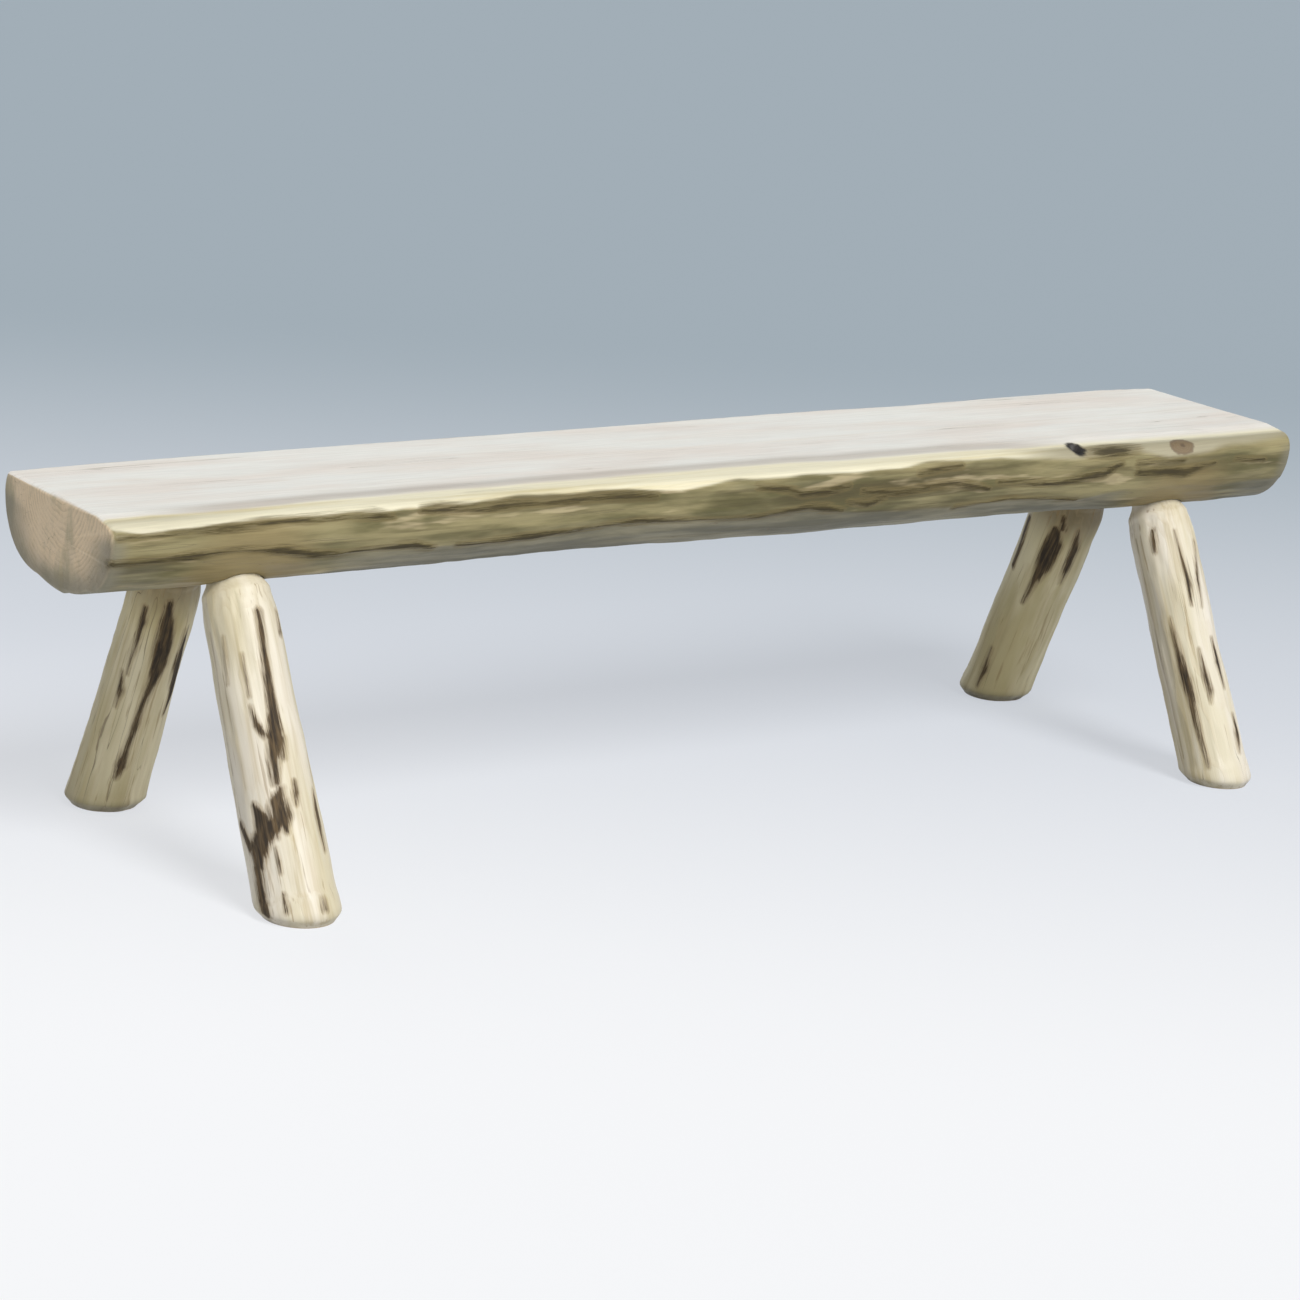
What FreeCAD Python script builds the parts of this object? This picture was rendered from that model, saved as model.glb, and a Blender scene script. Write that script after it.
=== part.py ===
import FreeCAD, Part
import Sketcher
import os

# Rustic log bench: a half log on four splayed poles, held by blind wedged tenons.
# Origin on the floor under the middle of the bench, +X along the seat, -Y to the sitter's
# front, +Z up. Millimetres and degrees.

V = FreeCAD.Vector
doc = FreeCAD.newDocument("rustic_log_bench")
sheet = doc.addObject("Spreadsheet::Sheet", "Sizes")

SIZES = {
    # the half log
    "seat_length": 1829,
    "seat_height": 470,
    "log_front": 152,
    "log_rear": 168,
    "log_depth": 118,
    "end_easing": 9,
    # the tenons and their bores
    "tenon_diameter": 64,
    "tenon_length": 64,
    "tenon_easing": 2,
    "shoulder_length": 38,
    "shoulder_gap": 0.2,
    "glue_gap": 0.15,
    "bore_relief": 2,
    # the saw kerf of a tenon and its wedge
    "kerf_depth": 46,
    "kerf_width": 2.4,
    "kerf_mouth": 6.4,
    "wedge_length": 38,
    "wedge_setback": 4,
    "wedge_gap": 0.1,
    # where each leg's middle line meets the flat: in from the end, and out from the middle
    "front_left_inset": 188,
    "front_left_offset": 35.5,
    "rear_left_inset": 195,
    "rear_left_offset": 30.5,
    "front_right_inset": 187.5,
    "front_right_offset": 35.5,
    "rear_right_inset": 180.5,
    "rear_right_offset": 34,
    # the thickness of each pole at its foot and under its shoulder
    "front_left_foot": 110,
    "front_left_top": 94,
    "rear_left_foot": 108,
    "rear_left_top": 92,
    "front_right_foot": 100,
    "front_right_top": 93,
    "rear_right_foot": 105,
    "rear_right_top": 106,
    "pole_hollow": 1.5,
    "foot_easing": 11,
    # how far a cut runs past what it cuts
    "overrun": 60,
}

# The slope of each leg: how far it splays out on its way down, and how far it leans to the left
# on its way up, both as shares of its height.
SLOPE_SHARES = {
    "front_left": (0.454, 0.030),
    "rear_left": (0.466, 0.002),
    "front_right": (0.441, 0.052),
    "rear_right": (0.441, 0.017),
}

# The round of the log, from just above the flat's front edge down round the belly and up past
# the rear edge: arcs end to end, with every second point halfway along its arc. Across: a
# share of the front or rear half. Up: a share of the depth.
ROUND_SHARES = [
    (-0.45, 0.035),
    (-0.66, 0.00),
    (-0.85, -0.04),
    (-0.965, -0.11),
    (-1.00, -0.23),
    (-0.91, -0.60),
    (-0.40, -0.94),
    (0.00, -1.00),
    (0.40, -0.95),
    (0.90, -0.64),
    (1.00, -0.25),
    (0.99, -0.10),
    (0.93, 0.035),
]

# Sections along the log: place, front half, rear half and depth, each a share of its size.
LOG_SHARES = [
    (-0.500, 0.88, 0.95, 0.96),
    (-0.435, 0.92, 0.99, 0.97),
    (-0.365, 0.94, 1.02, 0.97),
    (-0.230, 0.95, 1.01, 0.96),
    (-0.120, 0.92, 0.98, 0.95),
    (0.010, 0.98, 0.98, 0.97),
    (0.130, 0.97, 1.02, 1.00),
    (0.250, 0.95, 0.95, 1.01),
    (0.365, 1.03, 1.00, 1.04),
    (0.440, 1.06, 1.01, 1.05),
    (0.500, 1.04, 0.93, 1.03),
]

# The shoulder is shaved in two slopes, from the tenon down to the full pole. Along it: a share
# of its length. Out: of the step from the tenon to the pole.
SHAVE_SHARES = [(0.42, 0.68), (1.0, 1.0)]

rows = 0


def add_size(alias, value):
    """Write one named size into the sheet."""
    global rows
    rows += 1
    sheet.set(f"A{rows}", alias)
    sheet.set(f"B{rows}", str(value))
    sheet.setAlias(f"B{rows}", alias)


for alias, value in SIZES.items():
    add_size(alias, value)
for leg, (splay_share, lean_share) in SLOPE_SHARES.items():
    add_size(f"{leg}_splay_share", splay_share)
    add_size(f"{leg}_lean_share", lean_share)
doc.recompute()


def size(alias):
    return float(sheet.get(alias))


def new_body(name):
    body = doc.addObject("PartDesign::Body", name)
    body.Label = name
    return body


def new_sketch(body, name, plane, offset=None):
    """A sketch on one of the body's own origin planes, moved and turned by the offset."""
    sketch = body.newObject("Sketcher::SketchObject", name)
    origin_plane = [item for item in body.Origin.OriginFeatures if item.Role == plane][0]
    sketch.AttachmentSupport = (origin_plane, "")
    sketch.MapMode = "FlatFace"
    if offset:
        sketch.AttachmentOffset = offset
    return sketch


def bind(sketch, constraint, expression):
    """Add a dimension to a sketch and bind it to the sheet."""
    index = sketch.addConstraint(constraint)
    sketch.setExpression(f"Constraints[{index}]", expression)


def add_rectangle(sketch, half_width, half_height):
    """A rectangle about the sketch's origin, its half sizes bound to the sheet."""
    corners = [V(-1, -1, 0), V(1, -1, 0), V(1, 1, 0), V(-1, 1, 0)]
    for number, corner in enumerate(corners):
        sketch.addGeometry(Part.LineSegment(corner, corners[(number + 1) % 4]), False)
    for number in range(4):
        join_ends(sketch, number, (number + 1) % 4)
        level = "Vertical" if number % 2 else "Horizontal"
        sketch.addConstraint(Sketcher.Constraint(level, number))
    sketch.addConstraint(Sketcher.Constraint("Symmetric", 0, 1, 2, 1, -1, 1))
    bind(sketch, Sketcher.Constraint("DistanceX", -1, 1, 1, 2, 1.0), half_width)
    bind(sketch, Sketcher.Constraint("DistanceY", -1, 1, 1, 2, 1.0), half_height)


def now(expression):
    """What an expression on the sheet's sizes comes to."""
    return float(sheet.evalExpression(expression))


def join_ends(sketch, first, second):
    """The end of one edge meets the start of the next."""
    sketch.addConstraint(Sketcher.Constraint("Coincident", first, 2, second, 1))


def place_point(sketch, edge, point, across, up):
    """Tie the start of an edge to its place, given as two expressions."""
    for kind, value, expression in (("DistanceX", point.x, across), ("DistanceY", point.y, up)):
        if value > 0:
            bind(sketch, Sketcher.Constraint(kind, -1, 1, edge, 1, value), expression)
        elif value < 0:
            bind(sketch, Sketcher.Constraint(kind, edge, 1, -1, 1, -value), f"-({expression})")
        else:
            axis = -2 if kind == "DistanceX" else -1
            sketch.addConstraint(Sketcher.Constraint("PointOnObject", edge, 1, axis))


def add_outline(sketch, corners, hollow_edge=None, hollow=""):
    """A closed outline. Each corner is two expressions, its places across and up. One edge may
    be an arc that lies inside its chord by the hollow."""
    points = [V(now(across), now(up), 0) for across, up in corners]
    for number, start in enumerate(points):
        following = points[(number + 1) % len(points)]
        if number == hollow_edge:
            middle = (start + following) / 2 - V(now(hollow), 0, 0)
            sketch.addGeometry(Part.Arc(start, middle, following), False)
        else:
            sketch.addGeometry(Part.LineSegment(start, following), False)
    for number, (point, (across, up)) in enumerate(zip(points, corners)):
        join_ends(sketch, (number - 1) % len(points), number)
        place_point(sketch, number, point, across, up)
    if hollow_edge is not None:
        (x1, y1), (x2, y2) = corners[hollow_edge : hollow_edge + 2]
        chord = f"((({x1}) - ({x2})) ^ 2 + (({y1}) - ({y2})) ^ 2)"
        radius = f"{chord} / (8 * {hollow}) + {hollow} / 2"
        bind(sketch, Sketcher.Constraint("Radius", hollow_edge, now(radius)), radius)


def check_cut(cut, before):
    """A cut that takes nothing away is a mistake."""
    doc.recompute()
    if not cut.Shape.Volume < before.Shape.Volume:
        raise RuntimeError(f"{cut.Label} cuts nothing")


# The half log
def log_section(name, along, front, rear, depth):
    """One section of the log: its round in arcs, closed by a line above the flat."""
    sketch = new_sketch(seat, name, "YZ_Plane")
    sketch.setExpression("AttachmentOffset.Base.z", along)
    points = []
    for across_share, up_share in ROUND_SHARES:
        half = front if across_share < 0 else rear
        points.append(V(across_share * half, up_share * depth, 0))
    arcs = [Part.Arc(*points[number : number + 3]) for number in range(0, len(points) - 1, 2)]
    for edge in [*arcs, Part.LineSegment(points[-1], points[0])]:
        sketch.addGeometry(edge, False)
    for number in range(len(arcs) + 1):
        join_ends(sketch, number - 1 if number else len(arcs), number)
    return sketch


seat = new_body("half_log_seat")
seat.setExpression("Placement.Base.z", "Sizes.seat_height")
log_sizes = [size(alias) for alias in ("log_front", "log_rear", "log_depth")]
sections = []
for number, (along_share, *shares) in enumerate(LOG_SHARES):
    along = f"(Sizes.seat_length - 2 * Sizes.end_easing) * {along_share}"
    section_sizes = [full * share for full, share in zip(log_sizes, shares)]
    sections.append(log_section(f"log_section_{number}", along, *section_sizes))

# Both ends are eased all round but for the flat.
for end, place, shares in (("left", -1, LOG_SHARES[0][1:]), ("right", 1, LOG_SHARES[-1][1:])):
    rim_sizes = [full * share - size("end_easing") for full, share in zip(log_sizes, shares)]
    rim = log_section(f"{end}_rim", f"{place} * Sizes.seat_length / 2", *rim_sizes)
    sections.insert(0 if place < 0 else len(sections), rim)
log = seat.newObject("PartDesign::AdditiveLoft", "hewn_log")
log.Profile = sections[0]
log.Sections = sections[1:]
log.Ruled = True

# The saw takes the top off and leaves the flat seat.
saw_line = new_sketch(seat, "saw_line", "XY_Plane")
half_width = "Sizes.log_front + Sizes.log_rear"
add_rectangle(saw_line, "Sizes.seat_length / 2 + Sizes.overrun", half_width)
saw_cut = seat.newObject("PartDesign::Pocket", "sawn_flat")
saw_cut.Profile = saw_line
saw_cut.Reversed = True
saw_cut.setExpression("Length", "Sizes.overrun")
check_cut(saw_cut, log)


def leg_placement(leg):
    """The leg's own frame: origin at the foot's middle on the floor, +Z up its middle line."""
    end = -1 if leg.endswith("left") else 1
    side = -1 if leg.startswith("front") else 1
    lean = size(f"{leg}_lean_share")
    splay = side * size(f"{leg}_splay_share")
    foot_x = end * (size("seat_length") / 2 - size(f"{leg}_inset")) + lean * size("seat_height")
    foot_y = side * size(f"{leg}_offset") + splay * size("seat_height")
    rotation = FreeCAD.Rotation(V(0, 0, 1), V(-lean, -splay, 1))
    return FreeCAD.Placement(V(foot_x, foot_y, 0), rotation)


def measure_reach(leg):
    """How far up the leg's line the log's round begins, over the width of the bore."""
    bore_radius = size("tenon_diameter") / 2 + size("glue_gap")
    core = Part.makeCylinder(bore_radius, 2 * size("seat_height"))
    core.Placement = leg_placement(leg)
    log_shape = saw_cut.Shape.copy()
    log_shape.Placement = seat.Placement.multiply(log_shape.Placement)
    core = log_shape.common(core)
    core.Placement = leg_placement(leg).inverse().multiply(core.Placement)
    return core.optimalBoundingBox(False, False).ZMin - size("shoulder_gap")


# The bores, in line with the legs and blind under the flat.
for leg in SLOPE_SHARES:
    add_size(f"{leg}_reach", measure_reach(leg))
doc.recompute()
before = saw_cut
for leg in SLOPE_SHARES:
    floor_of_bore = size(f"{leg}_reach") + size("tenon_length") + size("bore_relief")
    bore_frame = seat.Placement.inverse().multiply(leg_placement(leg))
    bore_frame = bore_frame.multiply(FreeCAD.Placement(V(0, 0, floor_of_bore), FreeCAD.Rotation()))
    circle = new_sketch(seat, f"{leg}_bore_circle", "XY_Plane", bore_frame)
    circle.addGeometry(Part.Circle(V(0, 0, 0), V(0, 0, 1), size("tenon_diameter") / 2), False)
    circle.addConstraint(Sketcher.Constraint("Coincident", 0, 3, -1, 1))
    bind(circle, Sketcher.Constraint("Radius", 0, 1.0), "Sizes.tenon_diameter / 2 + Sizes.glue_gap")
    bore = seat.newObject("PartDesign::Pocket", f"{leg}_bore")
    bore.Profile = circle
    bore.setExpression("Length", "Sizes.tenon_length + Sizes.bore_relief + Sizes.overrun")
    check_cut(bore, before)
    before = bore


def make_leg(leg):
    """A pole with a shaved shoulder and a tenon, cut level at the foot and sawn for its wedge."""
    body = new_body(f"{leg}_leg")
    body.Placement = leg_placement(leg)
    foot, top, reach = [f"Sizes.{leg}_{word}" for word in ("foot", "top", "reach")]
    tenon = "Sizes.tenon_diameter / 2"
    tip = f"{reach} + Sizes.tenon_length"

    outline = new_sketch(body, f"{leg}_outline", "XZ_Plane")
    shaved = []
    for along_share, out_share in SHAVE_SHARES:
        across = f"{tenon} + ({top} / 2 - {tenon}) * {out_share}"
        shaved.append((across, f"{reach} - Sizes.shoulder_length * {along_share}"))
    corners = [
        ("0", tip),
        (f"{tenon} - Sizes.tenon_easing", tip),
        (tenon, f"{tip} - Sizes.tenon_easing"),
        (tenon, reach),
        *shaved,
        (f"{foot} / 2", f"-{foot} / 2"),
        ("0", f"-{foot} / 2"),
    ]
    add_outline(outline, corners, corners.index(shaved[-1]), "Sizes.pole_hollow")
    pole = body.newObject("PartDesign::Revolution", f"{leg}_pole")
    pole.Profile = outline
    pole.ReferenceAxis = (outline, ["V_Axis"])
    doc.recompute()

    level = FreeCAD.Placement(V(0, 0, 0), body.Placement.Rotation.inverted())
    floor_line = new_sketch(body, f"{leg}_floor_line", "XY_Plane", level)
    add_rectangle(floor_line, foot, foot)
    level_foot = body.newObject("PartDesign::Pocket", f"{leg}_level_foot")
    level_foot.Profile = floor_line
    level_foot.setExpression("Length", foot)
    check_cut(level_foot, pole)

    eased_foot = body.newObject("PartDesign::Chamfer", f"{leg}_eased_foot")
    eased_foot.Base = (level_foot, floor_edges(body, level_foot.Shape))
    eased_foot.setExpression("Size", "Sizes.foot_easing")
    check_cut(eased_foot, level_foot)

    kerf_outline = new_sketch(body, f"{leg}_kerf_outline", "XZ_Plane")
    half_above = "(2 * Sizes.kerf_mouth - Sizes.kerf_width) / 2"
    corners = [
        ("-Sizes.kerf_width / 2", f"{tip} - Sizes.kerf_depth"),
        ("Sizes.kerf_width / 2", f"{tip} - Sizes.kerf_depth"),
        (half_above, f"{tip} + Sizes.kerf_depth"),
        (f"-{half_above}", f"{tip} + Sizes.kerf_depth"),
    ]
    add_outline(kerf_outline, corners)
    kerf = body.newObject("PartDesign::Pocket", f"{leg}_kerf")
    kerf.Profile = kerf_outline
    kerf.Midplane = True
    kerf.setExpression("Length", "2 * Sizes.tenon_diameter")
    check_cut(kerf, eased_foot)
    return body


def floor_edges(body, shape):
    """The names of the edges that lie on the floor."""
    names = []
    for number, edge in enumerate(shape.Edges, 1):
        ends = [body.Placement.multVec(edge.valueAt(place)) for place in edge.ParameterRange]
        middle = body.Placement.multVec(edge.CenterOfMass)
        if all(abs(point.z) < size("glue_gap") for point in (*ends, middle)):
            names.append(f"Edge{number}")
    return names


def make_wedge(leg):
    """A hardwood wedge that the floor of the bore holds in the kerf."""
    body = new_body(f"{leg}_wedge")
    body.Placement = leg_placement(leg)
    slope = "(Sizes.kerf_mouth - Sizes.kerf_width) / 2 / Sizes.kerf_depth"
    high = "(Sizes.kerf_depth + Sizes.bore_relief - Sizes.wedge_gap)"
    low = f"({high} - Sizes.wedge_length)"
    root = f"Sizes.{leg}_reach + Sizes.tenon_length - Sizes.kerf_depth"
    low_half, high_half = [
        f"(Sizes.kerf_width / 2 + {rise} * {slope} - Sizes.wedge_gap)" for rise in (low, high)
    ]
    outline = new_sketch(body, f"{leg}_wedge_outline", "XZ_Plane")
    corners = [
        (f"-{low_half}", f"{root} + {low}"),
        (low_half, f"{root} + {low}"),
        (high_half, f"{root} + {high}"),
        (f"-{high_half}", f"{root} + {high}"),
    ]
    add_outline(outline, corners)
    wedge = body.newObject("PartDesign::Pad", f"{leg}_split_wedge")
    wedge.Profile = outline
    wedge.Midplane = True
    wedge.setExpression("Length", "Sizes.tenon_diameter - 2 * Sizes.wedge_setback")
    doc.recompute()
    return body


bodies = [seat]
for leg in SLOPE_SHARES:
    bodies += [make_leg(leg), make_wedge(leg)]

for item in doc.Objects:
    if "Invalid" in item.State or "Error" in item.State:
        raise RuntimeError(f"{item.Label} failed")
os.makedirs("parts", exist_ok=True)
for body in bodies:
    shape = body.Shape
    if shape.isNull() or not shape.isValid() or len(shape.Solids) != 1:
        raise RuntimeError(f"{body.Label} is not one valid solid")
    shape.exportStep(f"parts/{body.Label}.step")
    print(body.Label, "of", round(shape.Volume / 1000), "cubic centimetres")
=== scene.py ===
import math

import bpy
import numpy as np
from mathutils import Matrix, Vector
from mathutils.bvhtree import BVHTree


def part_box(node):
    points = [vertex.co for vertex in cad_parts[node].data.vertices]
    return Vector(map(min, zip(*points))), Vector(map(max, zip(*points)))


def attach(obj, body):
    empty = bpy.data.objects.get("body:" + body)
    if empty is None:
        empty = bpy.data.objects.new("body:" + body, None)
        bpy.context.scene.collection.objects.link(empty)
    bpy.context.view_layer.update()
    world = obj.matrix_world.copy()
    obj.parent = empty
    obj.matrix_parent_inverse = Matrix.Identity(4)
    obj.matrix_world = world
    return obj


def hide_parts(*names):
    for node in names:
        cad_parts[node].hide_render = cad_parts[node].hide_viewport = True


# Rustic log bench: a waney half log on four peeled poles.
# Everything is in metres, in the frame of the solids: +X along the bench, -Y to the front, +Z up.

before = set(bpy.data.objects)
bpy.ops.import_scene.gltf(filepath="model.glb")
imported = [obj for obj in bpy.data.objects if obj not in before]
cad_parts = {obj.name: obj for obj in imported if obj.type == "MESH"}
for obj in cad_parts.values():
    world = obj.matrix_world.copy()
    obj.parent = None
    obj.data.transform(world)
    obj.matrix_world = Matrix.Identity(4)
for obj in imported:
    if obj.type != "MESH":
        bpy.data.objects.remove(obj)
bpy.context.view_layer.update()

SEAT = "half_log_seat"
MM = 0.001
UP = Vector((0, 0, 1))

# Rays are cast at the half log from this far out.
RAY_START = 0.4

# The rings of the half log: how far below the flat their spokes meet, how many there are, and how many
# more lie on each end, on its eased edge and its face
CORE_DROP = 0.050
SEAT_STATIONS = 420
SEAT_SPOKES = 210
SEAT_CAP_RINGS = 12
END_EASING = 0.009
END_STEPS = 6
# The spokes lie closer in front of one place and behind another.
FINE_FRONT = -0.075
FINE_REAR = 0.135
# Where a bore is measured, below the flat, and half of what it takes along the log there, with room
BORE_LEVEL = 0.1
BORE_REACH = 0.057

# How deep the half log is cut on its side and under it, how high bark and knots stand, and how deep the
# lost knot is
SIDE_STEP = 0.0014
UNDER_STEP = 0.0012
SEAT_BARK_RISE = 0.0010
SEAT_KNOT_RISE = 0.0010
HOLE_DEPTH = 0.009
# Hollows of the drawknife: how many, then half the length, half the width and the depth of the largest
SEAT_HOLLOWS = (420, (0.18, 0.024, 0.0020))
# Waves of its skin: their mean depth, how many there are along it and round it, and their seed
SIDE_WAVES = [(0.0008, (26, 9), 8), (0.0005, (90, 44), 9)]
FLAT_WAVES = [(0.00012, (60, 30), 10)]
# The shaved front edge turns into the side over this much, and gives out between these places.
FACE_FADE = 0.003
BARE_RISE = (0.36, 0.54)
# The painted shadow line behind it: how it comes and goes across the log, from INNER_LINE, and along the log
LINE_ACROSS = ((-0.014, -0.004), (0.002, 0.030))
LINE_ALONG = ((-0.90, -0.75), (0.42, 0.58))
# How near a pole's middle line the wood round its joint is brown
JOINT_FADE = (0.055, 0.150)
# Where the growth rings have their middle: behind the log's own, and above the flat
SEAT_HEART = (0.004, 0.012)
# How far below the flat the rim of an end turns dark
RIM_DROP = (0.010, 0.035)
# How often the round of the log is smoothed at its ends, and how proud its skin may stand of the solid
END_PASSES = 60
MOST_PROUD = 0.0002

# How far a stroke of bark spreads over its line, how soft its edge is, and what stands for no stroke near
BARK_SPREAD = 0.0003
BARK_SOFTNESS = 0.006
NO_BARK = -0.05

# Sizes of a pole, and of its shoulder's rise into the log
TENON_LENGTH = 0.064
SHOULDER_LENGTH = 0.038
SHOULDER_RISE = 0.010
POLE_REACH = 0.130
POLE_RADIUS = 0.050
FOOT_BLEND = 0.120
# The rings of a pole: their spokes, their steps on the foot and the shaft, how many there are on the
# shoulder, the tenon and each end, and how far they lie inside the ends and past the shoulder
POLE_SPOKES = 200
FOOT_ZONE = 0.020
FOOT_STEP = 0.0012
POLE_STEP = 0.0014
NECK_LEAD = 0.006
NECK_RINGS = 40
TENON_RINGS = 12
POLE_CAP_RINGS = 6
END_INSET = 0.0004
TENON_INSET = 0.0005
# What is cut for a pole in the half log: how far its mouth reaches below the shoulder's top, the rings
# of both parts and their spokes, its play, where its last ring lies and how far it goes on from there
BORE_MOUTH = 0.085
BORE_MOUTH_RINGS = 30
BORE_RINGS = 6
BORE_SPOKES = 96
BORE_SWELL = 0.0002
BORE_INSET = 0.003
BORE_RELIEF = 0.0045
# The saw kerf in a tenon: at some places below its end, half of its width, and half of its length
KERF_LEVELS = [(0.046, 0.0012), (0.040, 0.0012), (-0.004, 0.0034)]
KERF_REACH = 0.040
# How often the edges of the foot, the shoulder and a bore's mouth are softened
FOOT_PASSES = 5
NECK_PASSES = 16
BORE_PASSES = 6
# Hollows and waves of a pole, as for the half log. These seeds are added to the pole's own.
POLE_HOLLOWS = (130, (0.075, 0.011, 0.0012))
SHOULDER_HOLLOWS = (60, (0.030, 0.010, 0.0010))
POLE_WAVES = [(0.0010, (7, 5), 2), (0.0004, (22, 26), 3)]
POLE_BARK_RISE = 0.0007
POLE_KNOT_RISE = 0.0011
# The middle of its growth rings, to the right of its own and behind it
POLE_HEART = (0.006, -0.004)
# Between which heights up a pole each of its knots may lie, and how large they may be
POLE_KNOT_ZONES = ((0.07, 0.18), (0.22, 0.33))
POLE_KNOT_SIZES = (0.003, 0.0065)

# Where the rounding of the front edge starts on the flat: along the bench, in from the middle, in mm
INNER_LINE = [
    (-850, 95), (-784, 102), (-650, 96), (-476, 92), (-30, 93), (160, 100), (330, 101), (525, 112),
]
# Where the shaved front edge ends on the side of the log: along the bench, below the flat, in mm
ARRIS_EDGE = [
    (-903, 13), (-850, 17), (-815, 15), (-760, 10), (-586, 11), (-503, 13), (-480, 10), (-313, 9),
    (-180, 12), (-120, 15), (-90, 13), (-26, 8), (230, 11), (310, 7), (403, 8), (468, 13),
    (550, 18), (636, 14), (685, 26), (740, 20), (776, 15), (914, 8),
]
# The same for the edge at the back, which is level
REAR_EDGE = [(0, 5)]
# Where the front of the log turns under: along the bench, below the flat, in mm
LOWER_LINE = [
    (-914, 53), (-812, 50), (-740, 45), (-687, 52), (-613, 65), (-528, 58), (-450, 67), (-311, 63),
    (-168, 55), (-100, 62), (0, 64), (85, 55), (141, 65), (340, 79), (430, 72), (550, 84),
    (620, 72), (745, 76), (914, 72),
]
# How these four lines swing off their points: how far, how many times along the log, and their seed
INNER_SWING = (0.002, 24, 5)
ARRIS_SWING = (0.0022, 46, 3)
REAR_SWING = (0.002, 30, 4)
LOWER_SWING = (0.003, 30, 6)
# Strokes of bark left on the front of the log. Each point: along the bench, below the flat and half
# width, in mm
FRONT_BARK = [
    [(-913, 53, 3.5), (-850, 52, 4), (-812, 50, 5.5), (-760, 46, 3.5), (-715, 48, 3), (-687, 52, 6),
     (-640, 62, 5.5), (-600, 63, 2), (-560, 61, 2.5), (-505, 61, 5.5), (-475, 67, 2.5)],
    [(-440, 66, 3), (-345, 64, 5.5), (-290, 62, 3), (-230, 60, 2.5), (-168, 55, 4), (-125, 59, 2.5),
     (-50, 62, 1.5), (10, 64, 3), (55, 60, 4), (90, 55, 4), (115, 59, 6), (145, 65, 2)],
    [(-905, 20, 2), (-870, 21, 1), (-810, 19, 2), (-720, 16, 3.5), (-690, 14, 2), (-600, 15, 3),
     (-563, 16, 5), (-540, 19, 2)],
    [(-500, 14, 2), (-469, 15, 4.5), (-420, 18, 4), (-361, 16, 4), (-324, 18, 2), (-272, 18, 4.5),
     (-245, 18, 3), (-196, 20, 5), (-155, 22, 3)],
    [(0, 19, 2.5), (46, 26, 4), (71, 34, 5), (112, 34, 4.5), (145, 28, 3)],
    [(150, 52, 2), (184, 58, 5), (211, 50, 2)],
    [(170, 38, 2.5), (229, 45, 4), (312, 38, 4.5), (365, 47, 5), (385, 52, 3)],
    [(263, 20, 3), (294, 16, 3.5), (335, 14, 2)],
    [(340, 79, 3), (430, 71, 2), (550, 84, 2)],
    [(400, 43, 3.5), (430, 46, 3.5), (504, 51, 4), (577, 43, 6), (605, 28, 3)],
    [(633, 30, 3), (713, 32, 3)],
    [(637, 43, 4.5), (721, 49, 7), (771, 38, 3.5)],
    [(808, 34, 2), (862, 39, 2.5)],
]
# The same on the back of the log
REAR_BARK = [
    [(-870, 40, 2), (-700, 46, 6), (-560, 42, 2)],
    [(-420, 60, 2), (-200, 66, 5), (-60, 60, 2)],
    [(-330, 22, 2), (-180, 26, 4), (-120, 25, 2)],
    [(60, 44, 2), (260, 52, 6), (420, 46, 3)],
    [(430, 20, 2), (520, 24, 4), (600, 20, 2)],
    [(620, 62, 2), (720, 60, 5), (800, 58, 2)],
]
# Knots of the half log: along the bench, across it and below the flat in mm, then the radius along the
# bench and round it
SEAT_KNOTS = [
    (713, -148, 12, 18, 12), (240, 152, 38, 19, 14), (-640, 148, 52, 16, 12), (60, -60, 110, 19, 14),
]
# The hole of a lost knot, the same way; its near-black inside is painted shade
KNOT_HOLE = (537, -131, 6, 12, 16)
# A patch of bark on its front edge, the same way
EDGE_BARK = (592, -143, 11, 36, 11)
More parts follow.
